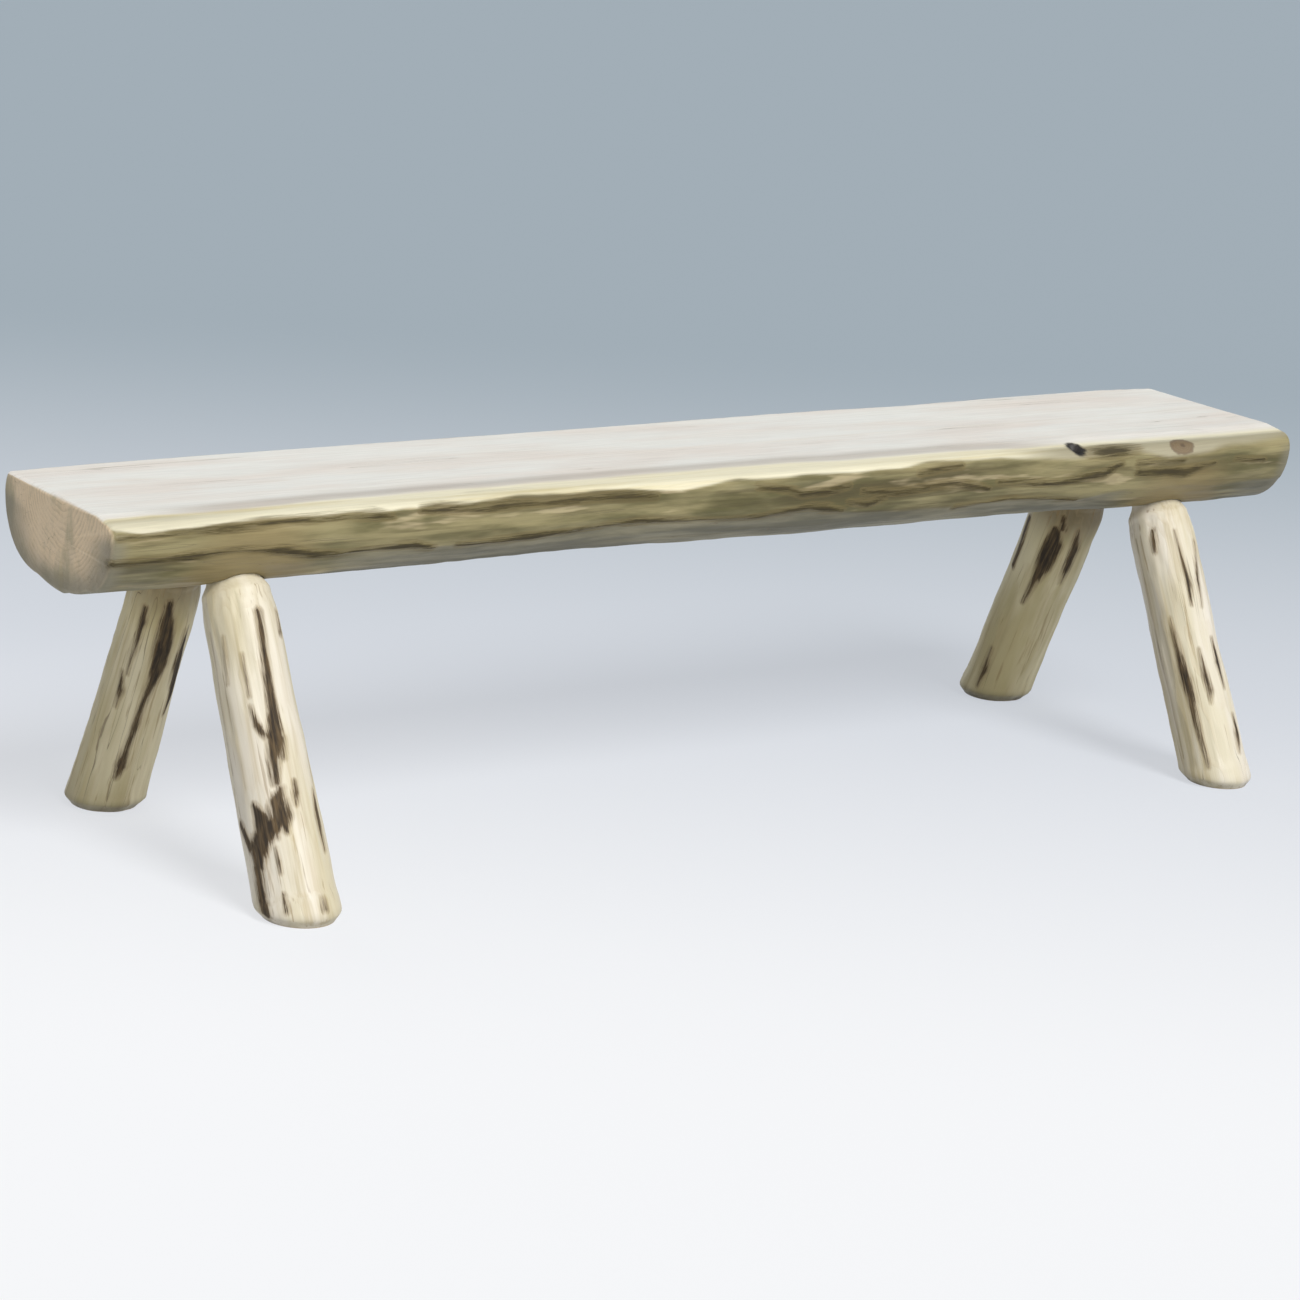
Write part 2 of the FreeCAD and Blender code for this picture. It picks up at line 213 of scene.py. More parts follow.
# Strokes of bark left on each pole. Each point: up the pole in mm, round it in degrees with -90 to the
# front, half width in mm
# A stroke whose width is below 0 leaves only its stain; those down the far left of the front poles are
# painted shade.
POLE_BARK = {
    "front_left": [
        [(362, -89, 5), (304, -94, 5.5), (243, -96, 6.5), (219, -99, 10), (208, -102, 11), (185, -110, 7.5),
         (158, -113, 5)],
        [(209, -92, 5), (186, -94, 3)],
        [(252, -129, 0.5), (229, -125, 3), (206, -106, 4.5)],
        [(150, -108, 4), (134, -115, 11.5), (118, -112, 11), (100, -112, 4)],
        [(136, -151, 3), (118, -144, 9.5), (103, -142, 12), (82, -160, 13), (66, -163, 9)],
        [(118, -113, 10), (108, -128, 11), (100, -142, 12)],
        [(132, -129, 1.5), (112, -128, 6), (94, -126, 2)],
        [(117, -188, 6), (90, -172, 9)],
        [(64, -166, 7.5), (26, -168, 7), (8, -162, 6)],
        [(360, -45, 3.5), (336, -47, 4.5)],
        [(143, -47, 2), (112, -51, 4), (70, -52, 1.5)],
        [(156, -86, 0.5), (142, -88, 3), (128, -90, 0.5)],
        [(315, -126, 0.2), (290, -127, 0.9), (265, -128, 0.2)],
        [(340, -151, 0.3), (318, -153, 1.6), (285, -158, 0.3)],
        [(82, -131, 0.2), (66, -130, 1.4), (52, -130, 0.2)],
        [(26, -132, 0.5), (6, -133, 2.5)],
        # Painted shade: a stain without bark down the shaded left side
        [(350, -180, -2.5), (270, -183, -1), (180, -186, -2)],
        [(0, -80, 3), (14, -80, 1)],
    ],
    "rear_left": [
        [(362, -110, 4.5), (335, -106, 10), (300, -101, 12.5), (270, -100, 11.5), (240, -103, 7),
         (203, -108, 4.5), (150, -110, 4), (129, -113, 3.5), (100, -114, 7), (81, -117, 2.5)],
        [(345, -147, 3), (325, -144, 5), (290, -143, 2.5), (240, -144, 0.5)],
        [(240, -154, 1), (214, -148, 4.5), (186, -148, 1)],
        [(318, -64, 3), (265, -61, 9), (211, -55, 7), (180, -60, 2)],
    ],
    "front_right": [
        [(356, -145, 3.5), (342, -148, 5), (328, -150, 3)],
        [(350, -106, 1), (301, -104, 3), (272, -102, 4), (245, -106, 0.5)],
        [(330, -65, 2), (277, -81, 3.5), (240, -84, 0.5)],
        [(194, -74, 1), (160, -74, 6), (124, -72, 1)],
        [(232, -148, 0.5), (210, -149, 3), (190, -147, 4), (166, -146, 6), (144, -144, 7.5), (120, -142, 6),
         (90, -142, 4), (63, -141, 3.5), (20, -138, 2.5)],
        [(182, -109, 0.5), (145, -109, 4.5), (124, -107, 4.5), (106, -109, 0.5)],
        [(84, -64, 1), (58, -67, 6), (32, -73, 1)],
        # Painted shade: a stain without bark down the shaded left side
        [(350, -186, -2), (250, -190, -0.5), (130, -186, -1.5), (40, -184, -2.5)],
    ],
    "rear_right": [
        [(353, -139, 4), (336, -132, 4)],
        [(330, -141, 6), (306, -137, 12), (286, -138, 13), (267, -139, 11), (235, -144, 4), (196, -148, 1.5)],
        [(338, -106, 2), (306, -101, 7), (270, -101, 5), (245, -101, 1)],
        [(100, -169, 1), (60, -166, 6), (30, -166, 1.5)],
        [(314, -205, 6), (270, -198, 6), (235, -196, 5)],
    ],
}
# How tan the wood of each pole is, and its seed; on the rear poles the tan is partly painted shade from the
# log above
LEGS = {
    "front_left": (0.14, 11), "rear_left": (0.74, 23), "front_right": (0.06, 37), "rear_right": (0.88, 51),
}

# The camera of the photograph
CAMERA_PLACE = Vector((-3.0288, -4.2468, 1.5565))
HEADING = (math.sin(0.6113), math.cos(0.6113), 0)
CAMERA_DIP = 0.2554
CAMERA_ROLL = 0.0654
CAMERA_LENS = 112.73
SENSOR_WIDTH = 36.0
# Two lamps: their names, where they shine, their strength, and their size in degrees
LAMPS = [("key", (-0.04, 0.95, -0.92), 3.25, 24), ("back", (0.0, -1.0, -0.2), 0.70, 40)]
# The floor: half of its side, how far it lies under the feet and how much it glows to the camera, and
# the tones of floor and wall near the camera and far off
FLOOR_SIZE = 40.0
FLOOR_DROP = 0.0005
FLOOR_GLOW = 0.78
NEAR_TONE = (247, 248, 250)
FAR_TONE = (162, 174, 183)


# Plain sums over arrays

def smooth_step(values, low, high):
    """0 below low, 1 above high and a soft rise between them."""
    share = np.clip((values - low) / (high - low), 0, 1)
    return share * share * (3 - 2 * share)


def smooth_band(values, rise, fall):
    """1 between a soft rise and a soft fall, each from one value to another, and 0 outside them."""
    return smooth_step(values, *rise) * (1 - smooth_step(values, *fall))


def wander(along, around, cells, seed):
    """Smooth random heights between -1 and 1. Both coordinates run from 0 to 1, and around comes back
    to its start."""
    rows, columns = cells
    heights = np.random.default_rng(seed).uniform(-1, 1, (rows + 2, columns))
    down = np.clip(along, 0, 1) * rows
    across = np.mod(around, 1) * columns
    row = down.astype(int)
    column = across.astype(int) % columns
    down_share = smooth_step(down - row, 0, 1)
    across_share = smooth_step(across - np.floor(across), 0, 1)
    after = (column + 1) % columns
    near = heights[row, column] * (1 - across_share) + heights[row, after] * across_share
    far = heights[row + 1, column] * (1 - across_share) + heights[row + 1, after] * across_share
    return near * (1 - down_share) + far * down_share


def wave_depth(along, around, waves, seed=0):
    """How deep each point lies in the waves of a skin."""
    return sum(depth * (1 + wander(along, around, cells, seed + own)) for depth, cells, own in waves)


def knife_cuts(along, around, turn, hollows, seed):
    """How deep each point lies in the shallow hollows that a drawknife leaves."""
    count, size = hollows
    random = np.random.default_rng(seed)
    cut = np.zeros_like(along)
    for _ in range(count):
        middle = random.uniform(along.min(), along.max())
        place = random.uniform(0, turn)
        length, width, depth = np.array(size) * random.uniform((0.45, 0.5, 0.4), 1)
        aside = (around - place + turn / 2) % turn - turn / 2
        cut = np.maximum(cut, depth * (1 - ((along - middle) / length) ** 2 - (aside / width) ** 2))
    return cut


def inside_stroke(along, aside, path):
    """How far each point lies inside a stroke along a path, less than 0 outside. The path gives its
    half width at each point."""
    points = np.array(path, float)
    best = np.full(along.shape, -1.0)
    for (start, start_aside, width), (run, shift, widening) in zip(points, np.diff(points, axis=0)):
        passed = (along - start) * run + (aside - start_aside) * shift
        share = np.clip(passed / (run**2 + shift**2), 0, 1)
        away = np.hypot(along - start - share * run, aside - start_aside - share * shift)
        best = np.maximum(best, width + share * widening - away)
    return best


def bark_mask(inside):
    """1 well inside a stroke of bark and -1 well outside it, from the distance to its edge."""
    return np.clip((inside + BARK_SPREAD) / BARK_SOFTNESS, -1, 1)


# Skins made of rings of points

def tree_of(node):
    """The solid's faces, ready for rays."""
    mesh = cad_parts[node].data
    return BVHTree.FromPolygons([v.co for v in mesh.vertices], [tuple(p.vertices) for p in mesh.polygons])


def outward(rings):
    """The outward direction at each point of a tube of rings."""
    around = np.roll(rings, -1, axis=1) - np.roll(rings, 1, axis=1)
    along = np.gradient(rings, axis=0)
    normal = np.cross(around, along)
    return normal / np.maximum(np.linalg.norm(normal, axis=2, keepdims=True), 1e-9)


def add_caps(rings, first_middle, last_middle, count):
    """Adds rings that close both ends of a tube towards their middles."""
    shares = np.linspace(1, 0, count + 2)[1:-1]
    first = [first_middle + (rings[0] - first_middle) * share for share in shares[::-1]]
    last = [last_middle + (rings[-1] - last_middle) * share for share in shares]
    return np.concatenate([first, rings, last])


def place_object(name, data):
    """A new object in the scene."""
    placed = bpy.data.objects.new(name, data)
    bpy.context.scene.collection.objects.link(placed)
    return placed


def ring_mesh(name, rings, fields):
    """A closed mesh from rings of points, with a point at the middle of each end. Fields are vectors
    for each point, by name."""
    ring_count, spokes, _ = rings.shape
    points = np.concatenate([rings.reshape(-1, 3), [rings[0].mean(0), rings[-1].mean(0)]])
    faces = []
    for ring in range(ring_count - 1):
        for spoke in range(spokes):
            after = (spoke + 1) % spokes
            near = ring * spokes
            far = near + spokes
            faces.append((near + spoke, near + after, far + after, far + spoke))
    first_middle = ring_count * spokes
    last_ring = first_middle - spokes
    for spoke in range(spokes):
        after = (spoke + 1) % spokes
        faces.append((first_middle, after, spoke))
        faces.append((first_middle + 1, last_ring + spoke, last_ring + after))
    mesh = bpy.data.meshes.new(name)
    mesh.from_pydata(points.tolist(), [], faces)
    mesh.update()
    for field, values in fields.items():
        attribute = mesh.attributes.new(field, "FLOAT_VECTOR", "POINT")
        middles = [values[0].mean(0), values[-1].mean(0)]
        attribute.data.foreach_set("vector", np.concatenate([values.reshape(-1, 3), middles]).ravel())
    mesh.polygons.foreach_set("use_smooth", np.ones(len(mesh.polygons), bool))
    return place_object(name, mesh)


def cut_away(piece, cutters):
    """Cuts closed shapes out of a piece and removes them."""
    for cutter in cutters:
        saw = piece.modifiers.new("cut", "BOOLEAN")
        saw.operation = "DIFFERENCE"
        saw.solver = "MANIFOLD"
        saw.object = cutter
    bpy.context.view_layer.update()
    shown = piece.evaluated_get(bpy.context.evaluated_depsgraph_get())
    whole = piece.data
    piece.data = bpy.data.meshes.new_from_object(shown)
    piece.data.name = piece.name
    piece.modifiers.clear()
    bpy.data.meshes.remove(whole)
    for cutter in cutters:
        bpy.data.objects.remove(cutter)


# The poles

class Pole:
    """One leg's middle line, read from its solid."""

    def __init__(self, name):
        self.name = name
        self.node = name + "_leg"
        self.tree = tree_of(self.node)
        corners = np.array([v.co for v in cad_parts[self.node].data.vertices])
        standing = corners[corners[:, 2] < MM]
        self.foot = Vector((standing.min(0) + standing.max(0)) / 2)
        top = corners[corners[:, 2] > corners[:, 2].max() - SHOULDER_LENGTH].mean(0)
        for _ in range(3):
            self.axis = (Vector(top) - self.foot).normalized()
            reached = (corners - self.foot) @ np.array(self.axis)
            end = corners[reached > reached.max() - MM]
            top = (end.min(0) + end.max(0)) / 2
        self.length = float(reached.max())
        turn = UP.rotation_difference(self.axis)
        self.right = turn @ Vector((1, 0, 0))
        self.back = turn @ Vector((0, 1, 0))
        self.shoulder_top = self.length - TENON_LENGTH

    def middle(self, reach):
        """The middle of the pole at a place up it."""
        return self.foot + self.axis * reach

    def spoke(self, angle):
        """The direction out of the pole at an angle round it."""
        return self.right * math.cos(angle) + self.back * math.sin(angle)

    def measure(self, points, direction):
        """How far each point lies from the foot in one direction."""
        return (points - np.array(self.foot)) @ np.array(direction)

    def skin_point(self, reach, angle, swell=0.0):
        """The solid's outside at a place up the pole and round it, on rings that lie level at the foot."""
        aside = self.spoke(angle)
        tilt = 1 - float(smooth_step(np.array(reach), 0, FOOT_BLEND))
        aside = (aside - self.axis * (aside.z / self.axis.z * tilt)).normalized()
        start = self.middle(reach) + aside * POLE_REACH
        hit = self.tree.ray_cast(start, -aside, POLE_REACH)[0]
        return None if hit is None else hit + aside * swell

    def rings(self, reaches, spokes, swell=0.0):
        """Rings of points on the solid, with the kerf of the tenon closed."""
        angles = np.linspace(-math.pi, math.pi, spokes, endpoint=False)
        rows = []
        for reach in reaches:
            middle = self.middle(reach)
            points = [self.skin_point(reach, angle, swell) for angle in angles]
            if reach > self.shoulder_top:
                away = sorted((point - middle).length for point in points if point is not None)
                radius = away[len(away) // 2]
                points = [middle + self.spoke(angle) * radius for angle in angles]
            rows.append(points)
        return np.array(rows)


def pole_reaches(pole):
    """Places of the rings up a pole, closer at the foot and the shoulder."""
    neck_start = pole.shoulder_top - SHOULDER_LENGTH - NECK_LEAD
    foot = np.arange(END_INSET, FOOT_ZONE, FOOT_STEP)
    shaft = np.linspace(FOOT_ZONE, neck_start, round((neck_start - FOOT_ZONE) / POLE_STEP))
    neck = np.linspace(neck_start, pole.shoulder_top, NECK_RINGS)
    tenon = np.linspace(pole.shoulder_top + TENON_INSET, pole.length - END_INSET, TENON_RINGS)
    return np.concatenate([foot, shaft[:-1], neck, tenon])


def raise_shoulder(pole, rings, reaches):
    """Lifts the shaved shoulder into the log, so that no neck of the tenon shows under it."""
    top = pole.shoulder_top
    start = top - SHOULDER_LENGTH - 0.012
    rise = SHOULDER_RISE * smooth_band(reaches, (start, top - 0.004), (top + 0.020, top + 0.045))
    middles = np.array(pole.foot) + reaches[:, None] * np.array(pole.axis)
    spokes = rings - middles[:, None, :]
    distances = np.linalg.norm(spokes, axis=2)
    lifted = distances.copy()
    for column in range(rings.shape[1]):
        lifted[:, column] = np.interp(reaches - rise, reaches, distances[:, column])
    moved = rise > 0
    rings[moved] = middles[moved][:, None, :] + spokes[moved] * (lifted / distances)[moved][..., None]


def soften(rings, first, last, passes):
    """Rounds the hard edges that run round a tube, between two of its rings."""
    for _ in range(passes):
        between = (rings[first - 1:last - 1] + rings[first + 1:last + 1]) / 2
        rings[first:last] = (rings[first:last] + between) / 2


def make_pole(pole):
    """A peeled pole with its shaved shoulder, its foot cut level and the bark that was left on it."""
    tan, seed = LEGS[pole.name]
    top = pole.shoulder_top
    reaches = pole_reaches(pole)
    rings = pole.rings(reaches, POLE_SPOKES)
    foot_end, neck_start, neck_end = np.searchsorted(
        reaches, (FOOT_ZONE, top - SHOULDER_LENGTH - NECK_LEAD, top)
    )
    soften(rings, 1, foot_end, FOOT_PASSES)
    soften(rings, neck_start, neck_end - 1, NECK_PASSES)
    raise_shoulder(pole, rings, reaches)
    rings[0, :, 2] = 0
    angles = np.linspace(-180, 180, POLE_SPOKES, endpoint=False)
    along = pole.measure(rings, pole.axis)
    around = np.broadcast_to(np.radians(angles) * POLE_RADIUS, along.shape)
    turn = math.tau * POLE_RADIUS
    share = np.clip(along / pole.length, 0, 1)
    turned = around / turn + 0.5

    bark = np.full(along.shape, NO_BARK)
    for path in POLE_BARK[pole.name] + hidden_bark(seed):
        for wrap in (-360, 0, 360):
            line = [
                (up * MM, math.radians(angle + wrap) * POLE_RADIUS, width * MM) for up, angle, width in path
            ]
            bark = np.maximum(bark, inside_stroke(along, around, line))
    bark = bark_mask(bark)
    knots = pole_knots(along, around, seed)

    shaft = smooth_band(along, (0.010, 0.030), (top - 0.014, top - 0.004))
    shoulder = smooth_band(along, (top - 0.050, top - 0.030), (top - 0.006, top))
    cut = knife_cuts(along, around, turn, POLE_HOLLOWS, seed) * shaft
    cut += knife_cuts(along, around, turn, SHOULDER_HOLLOWS, seed + 1) * shoulder
    cut += wave_depth(share, turned, POLE_WAVES, seed) * shaft
    cut -= POLE_KNOT_RISE * smooth_step(knots, 0, 0.8) * shaft
    cut -= POLE_BARK_RISE * smooth_step(bark, -0.2, 0.3) * shaft
    rings = rings - outward(rings) * cut[..., None]

    whole = add_caps(rings, np.array(pole.foot), np.array(pole.middle(pole.length)), POLE_CAP_RINGS)
    height = whole[..., 2]
    skin = slice(POLE_CAP_RINGS, -POLE_CAP_RINGS)
    marks = np.zeros(whole.shape)
    marks[..., 0] = -1
    marks[skin, :, 0] = bark
    marks[skin, :, 1] = np.clip(knots, 0, 1)
    kind = np.zeros(whole.shape)
    risen = pole.measure(whole, pole.axis)
    # Tan that rises towards the top; on the rear poles it reaches the dark brown of painted shade under the
    # log
    kind[..., 0] = tan * (1 + smooth_step(risen, 0.26, 0.42))
    kind[..., 1] = smooth_step(-outward(whole)[..., 2], 0.80, 0.97) * (height < 0.012)
    # Painted shade on the foot and its chamfer, stronger on the tanner rear poles
    kind[..., 2] = (0.4 + 0.6 * tan) * (1 - smooth_step(height, 0.003, 0.022))
    right, back = (pole.measure(whole, direction) for direction in (pole.right, pole.back))
    grain = np.stack([risen + seed, right - POLE_HEART[0], back - POLE_HEART[1]], axis=2)
    return ring_mesh("peeled_pole_" + pole.name, whole, {"marks": marks, "kind": kind, "grain": grain})


def pole_knots(along, around, seed):
    """Two small knots on the back of a pole, each 1 at its middle and above 0 to twice its radius."""
    random = np.random.default_rng(seed + 5)
    knots = np.zeros(along.shape)
    for zone in POLE_KNOT_ZONES:
        up = random.uniform(*zone)
        place = math.radians(random.uniform(0, 140)) * POLE_RADIUS
        radius = random.uniform(*POLE_KNOT_SIZES)
        away = np.hypot((along - up) / 1.5, around - place) / radius
        knots = np.maximum(knots, 1 - away / 2)
    return knots


def hidden_bark(seed):
    """A few more strokes of bark on the sides of a pole that the photograph doesn't show."""
    random = np.random.default_rng(seed + 9)
    strokes = []
    for start in range(20, 300, 45):
        angle = random.uniform(-12, 140)
        width = random.uniform(2, 6)
        stroke = [(start, angle, 0.5)]
        for up in np.cumsum(random.uniform(14, 30, random.integers(2, 5))):
            stroke.append((start + up, angle + random.uniform(-6, 6), width * random.uniform(0.5, 1)))
        strokes.append(stroke + [(stroke[-1][0] + 20, stroke[-1][1], 0.5)])
    return strokes


def bore_cutter(pole):
    """The room that a pole's shoulder and tenon take in the half log."""
    top = pole.shoulder_top
    mouth = np.linspace(top - BORE_MOUTH, top, BORE_MOUTH_RINGS)
    bore = np.linspace(top + TENON_INSET, pole.length - BORE_INSET, BORE_RINGS)
    reaches = np.concatenate([mouth, bore])
    rings = pole.rings(reaches, BORE_SPOKES, BORE_SWELL)
    soften(rings, 1, BORE_MOUTH_RINGS - 1, BORE_PASSES)
    raise_shoulder(pole, rings, reaches)
    relief = rings[-1] + np.array(pole.axis) * BORE_RELIEF
    return ring_mesh("bore_" + pole.name, np.concatenate([rings, [relief]]), {})


def kerf_cutter(pole):
    """The saw kerf in a tenon, opened to take its wedge."""
    corners = np.array([v.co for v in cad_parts[pole.name + "_wedge"].data.vertices])
    _, _, directions = np.linalg.svd(corners - corners.mean(0))
    wide = Vector(directions[2]).cross(pole.axis).normalized()
    thin = pole.axis.cross(wide).normalized()
    rings = []
    for below, half in KERF_LEVELS:
        place = pole.middle(pole.length - below)
        sides = ((1, -1), (1, 1), (-1, 1), (-1, -1))
        rings.append([place + thin * (half * side) + wide * (KERF_REACH * end) for side, end in sides])
    rings = np.array(rings)
    sense = np.cross(rings[0][1] - rings[0][0], rings[0][2] - rings[0][1]) @ np.array(pole.axis)
    if sense < 0:
        rings = rings[:, ::-1]
    return ring_mesh("kerf_" + pole.name, rings, {})


# The half log

def seat_angles(tree, core_height):
    """Directions of the spokes round the half log, closest on its front edge and side, with each one's
    place round the skin and the whole way round it."""
    fine = np.linspace(-math.pi, math.pi, 1441)
    middle = Vector((0.05, 0, core_height))
    points = []
    for angle in fine:
        away = Vector((0, math.cos(angle), math.sin(angle)))
        points.append(tree.ray_cast(middle + away * RAY_START, -away)[0])
    points = np.array(points)
    steps = np.linalg.norm(np.diff(points, axis=0), axis=1)
    across = (points[1:, 1] + points[:-1, 1]) / 2
    weights = np.where(across < FINE_FRONT, 2.2, np.where(across > FINE_REAR, 1.7, 1.0))
    travelled = np.concatenate([[0], np.cumsum(steps * weights)])
    real = np.concatenate([[0], np.cumsum(steps)])
    wanted = np.linspace(0, travelled[-1], SEAT_SPOKES, endpoint=False)
    angles = np.interp(wanted, travelled, fine)
    return angles, np.interp(angles, fine, real), real[-1]


def seat_rings(poles):
    """Rings of points on the half log, with the bores closed and the ends rounded."""
    tree = tree_of(SEAT)
    low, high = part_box(SEAT)
    core_height = high.z - CORE_DROP
    angles, around, turn = seat_angles(tree, core_height)
    ease = END_EASING * (1 - np.cos(np.linspace(0, math.pi / 2, END_STEPS + 1)))
    body = np.linspace(low.x + END_EASING, high.x - END_EASING, SEAT_STATIONS)
    stations = np.concatenate([low.x + ease[:-1], body, (high.x - ease[:-1])[::-1]])
    # The rays stay clear of the eased ends.
    clear = END_EASING * 1.05
    distances = np.zeros((len(stations), SEAT_SPOKES))
    aways = [Vector((0, math.cos(angle), math.sin(angle))) for angle in angles]
    for row, place in enumerate(stations):
        middle = Vector((min(max(place, low.x + clear), high.x - clear), 0, core_height))
        for column, away in enumerate(aways):
            hit = tree.ray_cast(middle + away * RAY_START, -away)[0]
            distances[row, column] = (hit - middle).length
    below = np.sin(angles) < -0.2
    for pole in poles:
        bore = pole.middle((high.z - BORE_LEVEL) / pole.axis.z)
        bored = np.abs(stations - bore.x) < BORE_REACH
        for column in np.flatnonzero(below):
            distances[bored, column] = np.interp(stations[bored], stations[~bored], distances[~bored, column])
    from_end = np.minimum(stations - low.x, high.x - stations)
    rounded = distances.copy()
    for _ in range(END_PASSES):
        rounded = (np.roll(rounded, 1, axis=1) + 2 * rounded + np.roll(rounded, -1, axis=1)) / 4
    share = (1 - smooth_step(from_end, 0.02, 0.10))[:, None] * smooth_step(-np.sin(angles), 0.3, 0.6)
    distances += (rounded - distances) * share
    left = np.clip(END_EASING - from_end, 0, END_EASING)
    inset = END_EASING - np.sqrt(END_EASING**2 - left**2)
    distances -= inset[:, None]
    rings = np.zeros(distances.shape + (3,))
    rings[..., 0] = stations[:, None]
    rings[..., 1] = distances * np.cos(angles)
    rings[..., 2] = core_height + distances * np.sin(angles)
    return rings, around, turn


def make_seat(poles):
    """The half log: sawn flat on top, shaved along its front edge, waney with streaks of bark below."""
    rings, around, turn = seat_rings(poles)
    low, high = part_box(SEAT)
    along, across, height = rings[..., 0], rings[..., 1], rings[..., 2]
    around = np.broadcast_to(around, along.shape)
    share = (along - low.x) / (high.x - low.x)
    turned = around / turn
    drop = high.z - height
    from_end = np.minimum(along - low.x, high.x - along)
    front = across < 0

    def swinging(line, swing):
        """A line along the log, as a hand draws it."""
        reach, swings, seed = swing
        level = np.interp(along, *np.array(line).T * MM)
        return level + reach * wander(share, turned * 0, (swings, 2), seed)

    def spot(place, aside, down, length, width):
        """How far each point is from a knot or the like, in its radii."""
        steps = ((along - place * MM) / length, (across - aside * MM) / width, (drop - down * MM) / width)
        return np.sqrt(sum(step**2 for step in steps)) / MM

    edge = np.where(front, swinging(ARRIS_EDGE, ARRIS_SWING), swinging(REAR_EDGE, REAR_SWING))
    bare = smooth_step(along, *BARE_RISE)
    fade = FACE_FADE * (1 + 2 * bare)
    side = smooth_step(drop, edge, edge + 2 * fade)
    lower = swinging(LOWER_LINE, LOWER_SWING)
    under = smooth_step(drop, lower - 0.002, lower + 0.005)
    behind = across + swinging(INNER_LINE, INNER_SWING)

    bark = np.full(along.shape, NO_BARK)
    for strokes, here in ((FRONT_BARK, across < -0.08), (REAR_BARK, across > 0.08)):
        for path in strokes:
            inside = inside_stroke(along, drop, np.array(path) * MM)
            bark = np.where(here, np.maximum(bark, inside), bark)
    bark = bark_mask(np.maximum(bark, 0.008 * (1 - spot(*EDGE_BARK))))
    knots = np.max([1 - spot(*knot) / 2 for knot in SEAT_KNOTS], axis=0)
    hole = 1 - spot(*KNOT_HOLE)

    rough = side * (0.1 + 0.9 * smooth_step(from_end, 0.0, 0.10))
    cut = knife_cuts(along, around, turn, SEAT_HOLLOWS, 7) * rough
    cut += (SIDE_STEP * side + UNDER_STEP * under) * front
    cut += wave_depth(share, turned, SIDE_WAVES) * rough
    cut += wave_depth(share, turned, FLAT_WAVES) * (1 - side)
    cut -= SEAT_BARK_RISE * smooth_step(bark, -0.2, 0.4) * side
    cut -= SEAT_KNOT_RISE * smooth_step(knots, 0, 0.7) * side
    cut += HOLE_DEPTH * smooth_step(hole, 0.0, 0.6)
    rings = rings - outward(rings) * np.maximum(cut, -MOST_PROUD)[..., None]

    core = high.z - CORE_DROP
    whole = add_caps(rings, np.array((low.x, 0, core)), np.array((high.x, 0, core)), SEAT_CAP_RINGS)
    skin = slice(SEAT_CAP_RINGS, -SEAT_CAP_RINGS)
    marks = np.zeros(whole.shape)
    marks[..., 0] = -1
    marks[skin, :, 0] = bark
    marks[skin, :, 1] = np.clip(knots, 0, 1)
    # The painted shadow line on the flat, where it turns into the rounding of the front edge
    marks[skin, :, 2] = smooth_band(behind, *LINE_ACROSS) * smooth_band(along, *LINE_ALONG) * front

    kind = np.zeros(whole.shape)
    kind[skin, :, 0] = 1 - smooth_step(drop, edge - fade / 2, edge + fade / 2)
    kind[..., 1] = smooth_step(np.abs(outward(whole)[..., 0]), 0.55, 0.85)
    kind[:SEAT_CAP_RINGS, :, 1] = 1
    kind[-SEAT_CAP_RINGS:, :, 1] = 1
    dull = np.maximum(bare, 0.42 * (1 - smooth_step(along, -0.86, -0.60)))
    shaved = smooth_step(-behind, 0.004, 0.016) * (1 - bare) + smooth_step(drop, 0.0012, 0.007) * bare
    kind[skin, :, 2] = shaved * (1 + dull)

    joint = np.zeros(along.shape)
    for pole in poles:
        aside = np.hypot(pole.measure(rings, pole.right), pole.measure(rings, pole.back))
        joint = np.maximum(joint, 1 - smooth_step(aside, *JOINT_FADE))
    extra = np.zeros(whole.shape)
    # Painted shade inside the hole of the lost knot
    extra[skin, :, 0] = smooth_step(hole, -0.2, 0.05)
    # Painted shade on the underside, weaker towards the left end and giving way to brown round the joints
    dark = under * (0.35 + 0.65 * smooth_step(along, -0.66, -0.50))
    extra[skin, :, 1] = dark * (1 - joint) - joint
    to_rim = smooth_step(np.arange(1, SEAT_CAP_RINGS + 1) / (SEAT_CAP_RINGS + 1), 0.45, 1.0)
    rim = to_rim[:, None] * smooth_step(drop[0], *RIM_DROP)
    extra[:SEAT_CAP_RINGS, :, 2] = rim
    extra[-SEAT_CAP_RINGS:, :, 2] = rim[::-1]
    extra[skin, :, 2] = smooth_step(drop, *RIM_DROP) * (1 - smooth_step(from_end, 0.006, 0.030))
    grain = whole - np.array((0, *SEAT_HEART)) - np.array(UP) * high.z
    fields = {"marks": marks, "kind": kind, "extra": extra, "grain": grain}
    return ring_mesh("waney_half_log", whole, fields)


# Shader nodes

def place_node(tree, kind, inputs, **settings):
    """Adds a node; an input is a value or another node's socket."""
    node = tree.nodes.new(kind)
    for name, value in settings.items():
        setattr(node, name, value)
    for socket, value in inputs.items():
        if isinstance(value, bpy.types.NodeSocket):
            tree.links.new(value, node.inputs[socket])
        else:
            node.inputs[socket].default_value = value
    return node


def calc(tree, operation, *values):
    """A sum of one, two or three values."""
    return place_node(tree, "ShaderNodeMath", dict(enumerate(values)), operation=operation).outputs[0]


def times(tree, first, second):
    """One value times another."""
    return calc(tree, "MULTIPLY", first, second)


def stretch(tree, vector, scale):
    """A vector with each axis scaled."""
    return place_node(tree, "ShaderNodeVectorMath", {0: vector, 1: scale}, operation="MULTIPLY").outputs[0]


